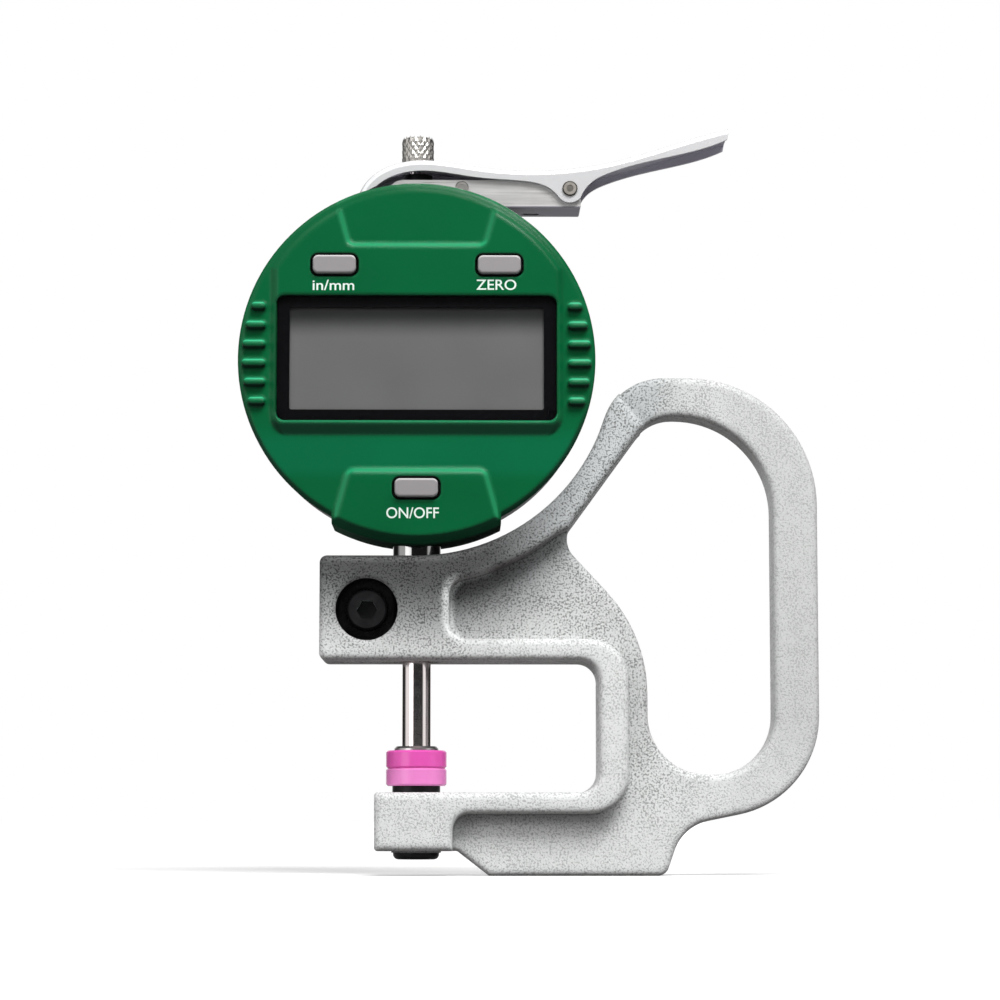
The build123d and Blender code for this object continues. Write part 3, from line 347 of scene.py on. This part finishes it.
# Painted highlight where the edges, panels and ribs look up, painted shade where they look down.
green.tint(
    (painted_light_band * 0.30, (0.004, 0.190, 0.090)),
    (green.ramp(soft_up, 0.10, 0.60) * (1 - near_rim * upper) * 0.62, (0.02, 0.40, 0.17)),
    (green.ramp(soft_side, 0.15, 0.55) * panels * 0.46, (0.03, 0.38, 0.16)),
    (green.ramp(soft_up, -0.06, -0.40) * 0.80, (0.001, 0.018, 0.010)),
    (green.ramp(hard_up, 0.25, 0.75) * ribs * 0.80, (0.05, 0.56, 0.28)),
    (green.ramp(hard_up, -0.15, -0.60) * ribs * 0.85, (0.0, 0.012, 0.006)),
)
for key in KEYS:
    key_low, key_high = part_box(key)
    key_middle = (key_low + key_high) / 2
    past_x = (abs(green_x - key_middle.x) - key_half_x).larger(0.0)
    past_z = (abs(green_z - key_middle.z) - key_half_z).larger(0.0)
    # Painted shade in the narrow ring round each key.
    key_gap_shade = green.ramp(green.distance(past_x, past_z), *mm(1.50, 1.30))
    green.tint((key_gap_shade, (0.001, 0.004, 0.002)))
satin = green.ramp(hard_up, -0.2, -0.8) * 0.7
green.drive("Roughness", green.fed_by("Roughness") + satin)
green.on("front_bezel")

key_grey = moulded("grey_key", (0.30, 0.285, 0.292), 0.42, gloss=0.3)
# Painted highlight on the keys' upper edges, painted shade on their lower edges.
key_up = key_grey.facing("Z", key_grey.rounded(0.4 * MM))
key_grey.tint(
    (key_grey.ramp(key_up, 0.10, 0.50) * 0.75, (0.66, 0.62, 0.63)),
    (key_grey.ramp(key_up, -0.15, -0.60) * 0.45, (0.16, 0.15, 0.155)),
)
key_grey.on(*KEYS)
black = moulded("black_moulding", (0.018, 0.018, 0.020), 0.45, grain=1500, depth=0.03, gloss=0.12)
black.on("back_cover", "battery_lid")
moulded("white_moulding", (0.72, 0.72, 0.70), 0.45).on("lcd_holder")
moulded("contact_rubber", (0.55, 0.30, 0.34), 0.65).on("contact_strips")
moulded("chip_black", (0.02, 0.02, 0.022), 0.5).on("scale_reader")
moulded("mask_print", (0.003, 0.003, 0.004), 0.3, gloss=0.1).on("window_mask")
print("green moulding", len(green.tree.nodes), "nodes")

# %% [markdown]
# ## The pink discs
# Both measuring discs are pink ceramic, ground flat. The lower one is paler. Ground faces
# have fine marks, so the gloss wanders over them.


# %% Grind the discs
def ground_ceramic(name, colour):
    """A ground skin that lets a little light in."""
    disc = moulded(name, colour, 0.30, grain=1200, depth=0.008, shift=0.06)
    disc.shader.inputs["Subsurface Weight"].default_value = 0.12
    disc.shader.inputs["Subsurface Radius"].default_value = (0.0010, 0.0003, 0.0006)
    disc.shader.inputs["Coat Weight"].default_value = 0.2
    return disc


ground_ceramic("pink_ceramic", (0.82, 0.10, 0.48)).on("contact_disc")
ground_ceramic("pale_pink_ceramic", (0.88, 0.25, 0.63)).on("anvil_disc")
print("two discs ground")

# %% [markdown]
# ## Metal
# Machined metal shows the way it was cut. Turned pieces have rings round their axis, sheet
# that was brushed has long lines, and polished sheet has next to none. All three are the
# same noise with its coordinates pulled out of scale. The bracket carries painted shade
# along its lower edge and the pin's head has a dark rim. The ring of the head is only a
# little metallic, and carries painted shade where it looks down.


# %% Cut, brush and polish
def machined(name, colour, dulness, pull, marks=0.18, depth=0.004):
    """Bare metal with marks that run one way."""
    metal = Finish(name, Metallic=1.0)
    mark = metal.noise(1.0, detail=3, roughness=0.7, where=metal.stretched(*pull))
    stain = metal.noise(240, detail=2)
    darker = tuple(part * (1 - marks) for part in colour)
    metal.drive("Base Color", metal.mix(mark * 0.7 + stain * 0.3, darker, colour))
    metal.drive("Roughness", dulness + (mark - 0.5) * marks + (stain - 0.5) * 0.06)
    metal.relief(mark, depth * MM, strength=0.5)
    return metal


rings = (60, 60, 9000)
along = (60, 2600, 2600)
grains = (900, 900, 900)
machined("turned_steel", (0.58, 0.57, 0.56), 0.28, rings).on("contact_seat", "bush_nut")
machined("ground_steel", (0.88, 0.81, 0.80), 0.10, rings, marks=0.08).on("spindle", "guide_rod")
machined("stem_chrome", (0.34, 0.34, 0.335), 0.08, rings, marks=0.05).on("stem")
machined("pin_steel", (0.60, 0.58, 0.55), 0.30, grains).on(
    "tie_screw", "cover_screws", "board_screws", "button_domes", "battery_clip"
)
machined("spring_wire", (0.45, 0.45, 0.46), 0.25, grains).on("return_spring")
machined("cell_plating", (0.68, 0.68, 0.67), 0.18, (500, 500, 500)).on("coin_cell")
machined("brass", (0.72, 0.52, 0.24), 0.28, rings).on("lower_bush", "scale_slider")
machined("knurl_steel", (0.54, 0.52, 0.49), 0.30, rings, marks=0.15).on("lifting_cap")

bracket = machined("brushed_bracket", (0.82, 0.81, 0.80), 0.34, along, marks=0.30)
bracket.shader.inputs["Metallic"].default_value = 0.7
bracket_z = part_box("lever_bracket")[0].z
# Painted shade along the bracket's lower edge.
bracket_foot = bracket.ramp(bracket.axis("Z") - bracket_z, *mm(0.25, 0.10))
bracket.tint((bracket_foot * 0.8, (0.12, 0.11, 0.17)))
bracket.on("lever_bracket")

pin = machined("pivot_steel", (0.66, 0.62, 0.56), 0.30, grains)
pin_low, pin_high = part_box("pivot_pin")
pin_middle, pin_r = (pin_low + pin_high) / 2, (pin_high.z - pin_low.z) / 2
pin_out = pin.from_line(pin_middle.x, pin_middle.z)
pin.tint(
    (pin.ramp(pin_out, 0.78 * pin_r, 0.93 * pin_r), (0.05, 0.045, 0.04)),
    (pin.ramp(pin_out, 0.50 * pin_r, 0.40 * pin_r) * 0.6, (0.12, 0.11, 0.10)),
)
pin.on("pivot_pin")

housing = machined("housing_metal", (0.12, 0.125, 0.125), 0.38, grains, marks=0.10)
housing.shader.inputs["Metallic"].default_value = 0.25
housing.shader.inputs["Specular IOR Level"].default_value = 0.12
# Painted shade on the faces of the ring that look down.
housing_under = housing.ramp(housing.facing("Z"), -0.3, -0.8)
housing.tint((housing_under * 0.85, (0.006, 0.007, 0.007)))
housing.on("rear_housing")
print("housing metal", len(housing.tree.nodes), "nodes")

# %% [markdown]
# ## The lever
# The lever is pressed from sheet and polished outside. Inside the channel it stays as it came
# from the press, dull, and its colour is darker there: partly the unpolished sheet and partly
# painted shade. Where a face lies inside and doesn't look up, it takes the dull finish and
# the darker colour.

# %% Polish the lever outside
polish = machined("lever_polish", (0.93, 0.93, 0.945), 0.14, along, marks=0.05, depth=0.001)
polish.shader.inputs["Metallic"].default_value = 0.35
# Inside the channel: the dull pressed finish, and a darker colour that is partly unpolished sheet
# and partly painted shade.
in_channel = polish.ramp(abs(polish.axis("Y")), *mm(4.6, 4.4))
inside = in_channel * polish.ramp(polish.facing("Z"), 0.5, 0.2)
polish.tint((inside, (0.48, 0.46, 0.53)))
polish.drive("Roughness", polish.fed_by("Roughness") + inside * 0.3)
polish.on("lever")
print("lever polish", len(polish.tree.nodes), "nodes")

# %% [markdown]
# ## Blackened steel
# The two socket screws, the anvil's post and the bush are blackened. The layer is thin and
# dark, with a dull shine like oil. The walls of the clamp screw's socket are paler, because
# they catch light from above.

# %% Blacken the screws
oxide = Finish("black_oxide", Metallic=0.2, Specular_IOR_Level=0.25)
patch = oxide.noise(700, detail=3)
oxide.drive("Base Color", oxide.mix(patch, (0.003, 0.003, 0.004), (0.013, 0.013, 0.014)))
hex_walls = oxide.ramp(oxide.from_line(screw_middle.x, screw_middle.z), *mm(2.3, 2.1))
hex_walls = hex_walls * oxide.ramp(abs(oxide.facing("Y")), 0.6, 0.3)
oxide.tint((hex_walls, (0.22, 0.26, 0.25)))
oxide.drive("Roughness", 0.30 + patch * 0.15)
oxide.relief(patch, 0.01 * MM, strength=0.4)
oxide.on("clamp_screw", "anvil_screw", "anvil_post", "upper_bush")
print("black oxide", len(oxide.tree.nodes), "nodes")

# %% [markdown]
# ## The display
# The display is off, so it is a plain grey field behind a clear window. It is darker along
# its upper edge, where the deep frame of the window shades it.

# %% Fill the display
display = Finish("display_grey", Roughness=0.35)
shaded = display.ramp(display.axis("Z"), *mm(88.0, 92.4))
haze = display.noise(90, detail=2)
field = display.mix(haze, (0.150, 0.150, 0.150), (0.185, 0.185, 0.186))
display.drive("Base Color", display.mix(shaded, field, (0.010, 0.011, 0.011)))
display.drive("Roughness", 0.30 + haze * 0.1)
display.on("lcd_panel")

clear = Finish("clear_window", Roughness=0.04, Alpha=0.06, Specular_IOR_Level=0.12)
smear = clear.noise(120, detail=2)
clear.drive("Base Color", clear.mix(smear, (0.008, 0.008, 0.008), (0.02, 0.02, 0.02)))
clear.drive("Roughness", 0.03 + smear * 0.04)
clear.on("display_window")
print("display and window filled")

# %% [markdown]
# ## Board and scale
# Inside, the circuit board has green lacquer with paler tracks under it, and the strip on
# the slider has fine lines across it, half a millimetre apart.

# %% Lacquer the board and rule the strip
lacquer = Finish("board_lacquer", Roughness=0.3)
track_x = abs(lacquer.noise(500, detail=0, where=lacquer.stretched(1, 1, 0.15)) - 0.5)
track = lacquer.ramp(track_x, 0.03, 0.015)
lacquer.drive("Base Color", lacquer.mix(track, (0.004, 0.075, 0.022), (0.02, 0.20, 0.06)))
lacquer.relief(track, 0.03 * MM)
lacquer.on("circuit_board")

strip = Finish("ruled_strip", Roughness=0.35)
half_mm_lines = 628.0
line_waves = {"wave_type": "BANDS", "bands_direction": "Z"}
line_inputs = {"Vector": strip.place, "Scale": half_mm_lines}
ruled = strip.ramp(strip.node("ShaderNodeTexWave", line_waves, line_inputs), 0.62, 0.75)
strip.drive("Base Color", strip.mix(ruled, (0.55, 0.40, 0.16), (0.04, 0.03, 0.02)))
strip.on("scale_strip")
print("board and strip done")

# %% [markdown]
# ## Knurls
# Knurled grip is a small shape repeated in rings round an axis: rows of pyramids on the cap,
# one row of upright ridges on the clamp screw. Geometry Nodes do this with points whose
# index gives the row and the place in the row. The tree ends in plain geometry with its
# material set.


# %% A tree that repeats a stud round an axis
class Nodes:
    """A geometry tree with named inputs."""

    def __init__(self, name):
        self.tree = bpy.data.node_groups.new(name, "GeometryNodeTree")
        self.tree.interface.new_socket(
            "Geometry", in_out="OUTPUT", socket_type="NodeSocketGeometry"
        )
        self.given = self.tree.nodes.new("NodeGroupInput")
        self.result = self.tree.nodes.new("NodeGroupOutput")

    def size(self, name, kind="NodeSocketFloat"):
        """Adds an input to the tree."""
        self.tree.interface.new_socket(name, in_out="INPUT", socket_type=kind)
        return Wire(self.tree, self.given.outputs[name])

    def add(self, kind, settings=None, inputs=None, out=0):
        return add_node(self.tree, kind, settings, inputs, out)


def knurl_tree():
    """Square studs in staggered rows, with their backs on a cylinder round Z."""
    made = Nodes("knurl")
    count = made.size("Count round", "NodeSocketInt")
    rows = made.size("Rows", "NodeSocketInt")
    radius = made.size("Radius")
    pitch = made.size("Row pitch")
    width = made.size("Stud width")
    height = made.size("Stud height")
    rise = made.size("Stud rise")
    top = made.size("Stud top")
    skin = made.size("Finish", "NodeSocketMaterial")
    points = made.add("GeometryNodePoints", inputs={"Count": count * rows})
    index = made.add("GeometryNodeInputIndex")
    row = index.into("FLOOR", index.into("DIVIDE", index, count), 0.0)
    place = index - row * count
    odd = row.into("MODULO", row, 2.0)
    turn = (place + odd * 0.5) * index.into("DIVIDE", math.tau, count)
    out_x = radius * turn.into("COSINE", turn, 0.0)
    out_y = radius * turn.into("SINE", turn, 0.0)
    where = made.add("ShaderNodeCombineXYZ", inputs={"X": out_x, "Y": out_y, "Z": row * pitch})
    moved = made.add("GeometryNodeSetPosition", inputs={"Geometry": points, "Position": where})
    flat = made.add("ShaderNodeCombineXYZ", inputs={"X": out_x, "Y": out_y})
    facing = made.add("FunctionNodeAlignRotationToVector", {"axis": "Z"}, {"Vector": flat})
    upright = made.add(
        "FunctionNodeAlignRotationToVector",
        {"axis": "X", "pivot_axis": "Z"},
        {"Rotation": facing, "Vector": (0.0, 0.0, 1.0)},
    )
    unit_square_r = 0.7071
    stud_inputs = {"Vertices": 4, "Radius Bottom": unit_square_r, "Depth": 1.0, "Radius Top": top}
    stud = made.add("GeometryNodeMeshCone", {"fill_type": "NGON"}, stud_inputs)
    scale = made.add("ShaderNodeCombineXYZ", inputs={"X": height, "Y": width, "Z": rise})
    placed = {"Points": moved, "Instance": stud, "Rotation": upright, "Scale": scale}
    studs = made.add("GeometryNodeInstanceOnPoints", inputs=placed)
    real = made.add("GeometryNodeRealizeInstances", inputs={"Geometry": studs})
    done = made.add("GeometryNodeSetMaterial", inputs={"Geometry": real, "Material": skin})
    made.tree.links.new(done.socket, made.result.inputs[0])
    return made.tree


def put(name, data):
    """A new object in the scene."""
    thing = bpy.data.objects.new(name, data)
    bpy.context.scene.collection.objects.link(thing)
    return thing


def plain_mesh(maker):
    """The mesh that an object shows, in place of the object."""
    bpy.context.view_layer.update()
    shown = maker.evaluated_get(bpy.context.evaluated_depsgraph_get())
    mesh = bpy.data.meshes.new_from_object(shown)
    bpy.data.objects.remove(maker)
    return mesh


def repeated(name, tree, sizes, placement, body):
    """Runs a tree once, keeps the plain mesh and lets it ride with its body."""
    holder = put(name + "_plan", bpy.data.meshes.new(name + "_plan"))
    plan = holder.modifiers.new("plan", "NODES")
    plan.node_group = tree
    for item in tree.interface.items_tree:
        if item.in_out == "INPUT":
            plan[item.identifier] = sizes[item.name]
    mesh = plain_mesh(holder)
    mesh.transform(placement)
    piece = put(name, mesh)
    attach(piece, body)
    print(name, len(mesh.polygons), "faces")


knurl = knurl_tree()
print("knurl tree", len(knurl.nodes), "nodes")

# %% Knurl the cap and the clamp screw
cap_low, cap_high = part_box("lifting_cap")
cap_r = (cap_high.x - cap_low.x) / 2
cap_count = 18
cap_rows = 5
cap_plain = 0.45 * MM
cap_pitch = (cap_high.z - cap_low.z - 2 * cap_plain) / cap_rows
sunk = 0.02 * MM
cap_studs = {
    "Count round": cap_count,
    "Rows": cap_rows,
    "Radius": cap_r - sunk,
    "Row pitch": cap_pitch,
    "Stud width": math.tau * cap_r / cap_count,
    "Stud height": 2 * cap_pitch,
    "Stud rise": 0.20 * MM,
    "Stud top": 0.12,
    "Finish": bpy.data.materials["knurl_steel"],
}
cap_place = Matrix.Translation((SPINDLE_X, 0, cap_low.z + cap_plain + cap_pitch / 2))
repeated("cap_knurl", knurl, cap_studs, cap_place, "plunger")

screw_r = (screw_high.z - screw_low.z) / 2
ridge_in = 2.1 * MM
ridges = {
    "Count round": 40,
    "Rows": 1,
    "Radius": screw_r - sunk,
    "Row pitch": MM,
    "Stud width": 0.34 * MM,
    "Stud height": 3.2 * MM,
    "Stud rise": 0.22 * MM,
    "Stud top": 0.3,
    "Finish": oxide.material,
}
screw_place = Matrix.Translation((screw_middle.x, screw_low.y + ridge_in, screw_middle.z))
screw_turn = Matrix.Rotation(math.radians(90), 4, "X")
repeated("clamp_screw_knurl", knurl, ridges, screw_place @ screw_turn, "body")

# %% [markdown]
# ## Return spring
# The spring stands between the spindle's shoulder and the upper bush, and it gets shorter as
# the spindle rises. A merged copy of the measured coil stands for it and rides with the body,
# at its measured length.

# %% Put in the return coil
same_point = 0.0001 * MM
coil_mesh = bpy.data.objects["return_spring"].data.copy()
loose = bmesh.new()
loose.from_mesh(coil_mesh)
bmesh.ops.remove_doubles(loose, verts=loose.verts, dist=same_point)
loose.to_mesh(coil_mesh)
loose.free()
coil = put("return_coil", coil_mesh)
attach(coil, "body")
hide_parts("return_spring")
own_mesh(coil)

# %% [markdown]
# ## Words on the head
# The words beside the keys are printed in white. A text object is made a mesh, sized to its
# place, and set a hair proud of the moulding, as a print is.

# %% Print the words
ink_white = moulded("white_print", (0.74, 0.86, 0.79), 0.45)
ink_t = 0.02 * MM


def printed(name, words, centre, width, height, face_y):
    """Words in print on the head's front."""
    text = bpy.data.curves.new(name, "FONT")
    text.body = words
    text.offset = 0.008
    text.extrude = 0.01
    mesh = plain_mesh(put(name + "_text", text))
    low = Vector([min(v.co[i] for v in mesh.vertices) for i in range(3)])
    high = Vector([max(v.co[i] for v in mesh.vertices) for i in range(3)])
    mesh.transform(Matrix.Translation(-(low + high) / 2))
    span = high - low
    mesh.transform(Matrix.Diagonal((width / span.x, height / span.y, ink_t / span.z, 1)))
    mesh.transform(Matrix.Rotation(math.radians(90), 4, "X"))
    mesh.transform(Matrix.Translation((SPINDLE_X + centre[0] * MM, face_y, centre[1] * MM)))
    mesh.materials.clear()
    mesh.materials.append(ink_white.material)
    piece = put(name, mesh)
    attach(piece, "body")
    print(name, len(mesh.polygons), "faces")


field_y, panel_y = mm(-9.5, -9.3)
printed("words_in_mm", "in/mm", (-13.75, 96.8), 6.85 * MM, 1.75 * MM, field_y)
printed("words_zero", "ZERO", (13.1, 96.9), 6.6 * MM, 1.75 * MM, field_y)
printed("words_on_off", "ON/OFF", (-0.6, 59.1), 8.6 * MM, 1.8 * MM, panel_y)

# %% [markdown]
# ## Floor
# The photograph is a cut-out on white. The floor is pale, and the emission that only camera,
# mirror and glass rays meet brings it up to white. It starts low round the object, so that
# the shadow stays, and grows with the distance, so that no horizon shows.

# %% Lay the floor
floor_mesh = bpy.data.meshes.new("floor")
reach = 6.0
corners = [(-reach, -reach, 0), (reach, -reach, 0), (reach, reach, 0), (-reach, reach, 0)]
floor_mesh.from_pydata(corners, [], [(0, 1, 2, 3)])
floor = put("floor", floor_mesh)
pale = Finish("pale_floor", Roughness=0.9)
pale.shader.inputs["Specular IOR Level"].default_value = 0.0
pale.shader.inputs["Emission Strength"].default_value = 1.0
away = pale.node("ShaderNodeVectorMath", {"operation": "LENGTH"}, {0: pale.place}, out="Value")
direct = pale.node("ShaderNodeLightPath", out="Is Camera Ray")
shine = pale.node("ShaderNodeLightPath", out="Is Glossy Ray") * 0.25
through = pale.node("ShaderNodeLightPath", out="Is Transmission Ray")
pale.drive("Base Color", pale.mix(direct, (0.30, 0.30, 0.30), (0.80, 0.80, 0.80)))
whiteness = 0.40 + pale.ramp(away, 0.12, 0.9) * 0.65
pale.drive("Emission Color", direct.larger(shine).larger(through) * whiteness)
floor_mesh.materials.append(pale.material)
print("floor", 2 * reach, "m wide")

# %% [markdown]
# ## Sky
# Camera rays see a white room. Mirror rays see the same white behind the object, a lighter
# left side, and a dim room where the camera stands, as in a studio with black cards: polished
# metal needs that contrast to look like metal. All other rays meet a plain grey that is
# brighter behind the object.

# %% Light the room
world = bpy.data.worlds.new("studio")
bpy.context.scene.world = world
world.use_nodes = True
sky = world.node_tree
background = sky.nodes["Background"]
compass = add_node(sky, "ShaderNodeTexCoord", out="Generated")


def fade(value, low, high):
    """Nought to one along one direction of the sky."""
    inputs = {"Value": value, "From Min": low, "From Max": high}
    return add_node(sky, "ShaderNodeMapRange", {"interpolation_type": "SMOOTHSTEP"}, inputs)


east, north, up = (
    add_node(sky, "ShaderNodeSeparateXYZ", inputs={0: compass}, out=letter) for letter in "XYZ"
)
camera_ray, glass_ray, mirror_ray = (
    add_node(sky, "ShaderNodeLightPath", out=kind)
    for kind in ("Is Camera Ray", "Is Transmission Ray", "Is Glossy Ray")
)
behind = fade(north, 0.80, 0.92)
left = fade(east, -0.40, -0.68) * fade(north, 0.3, -0.1)
right = fade(east, 0.74, 0.86) * fade(north, -0.03, -0.2)
front_card = fade(up, 0.24, 0.36) * fade(up, 0.8, 0.6) * fade(north, 0.0, -0.5)
above = fade(up, 0.6, 0.9)
room = (0.02 + left * 0.9).larger(right).larger(behind).larger(front_card * 0.9)
room = room.larger(above * 0.8)
plain = 0.27 + fade(north, -0.1, 0.7) * 0.35
strength = camera_ray.larger(glass_ray).larger(mirror_ray * room)
strength = strength.larger((1 - mirror_ray) * plain)
sky.links.new(strength.socket, background.inputs["Strength"])
background.inputs["Color"].default_value = (1, 1, 1, 1)
print("sky", len(sky.nodes), "nodes")

# %% [markdown]
# ## Lamps
# A wide soft lamp hangs above, in front and a little to the right, so upper edges are bright
# and the rims throw a soft shadow into the recesses. A weaker one fills from the left.


# %% Hang the lamps
def lamp(name, place, aim, size, watts):
    """A rectangular lamp that points at its aim."""
    light = bpy.data.lights.new(name, "AREA")
    light.shape = "RECTANGLE"
    light.size, light.size_y = size
    light.energy = watts
    holder = put(name, light)
    holder.location = place
    holder.rotation_euler = (Vector(aim) - Vector(place)).to_track_quat("-Z", "Y").to_euler()
    print(name, watts, "W")


lamp_aim = (-0.005, 0.0, 0.06)
lamp("top_light", (0.12, -0.40, 0.58), lamp_aim, (0.40, 0.25), 5.1)
lamp("left_light", (-0.55, -0.60, 0.20), lamp_aim, (0.45, 0.45), 1.3)

# %% [markdown]
# ## Camera
# The camera stands low, half a metre away, and looks up by six degrees, as the photograph's
# edges show.

# %% Set the camera
look_up, look_aside = 6.0, -0.757
view = bpy.data.cameras.new("camera")
view.lens = 108.9
view.sensor_width = 36.0
view.clip_start = 0.01
camera = put("camera", view)
camera.location = (-18.3 * MM, -501.9 * MM, 9.44 * MM)
camera.rotation_euler = (math.radians(90 + look_up), 0, math.radians(look_aside))
bpy.context.scene.camera = camera
bpy.context.scene.view_settings.view_transform = "Standard"
print("camera", [round(part, 3) for part in camera.location])

# %% [markdown]
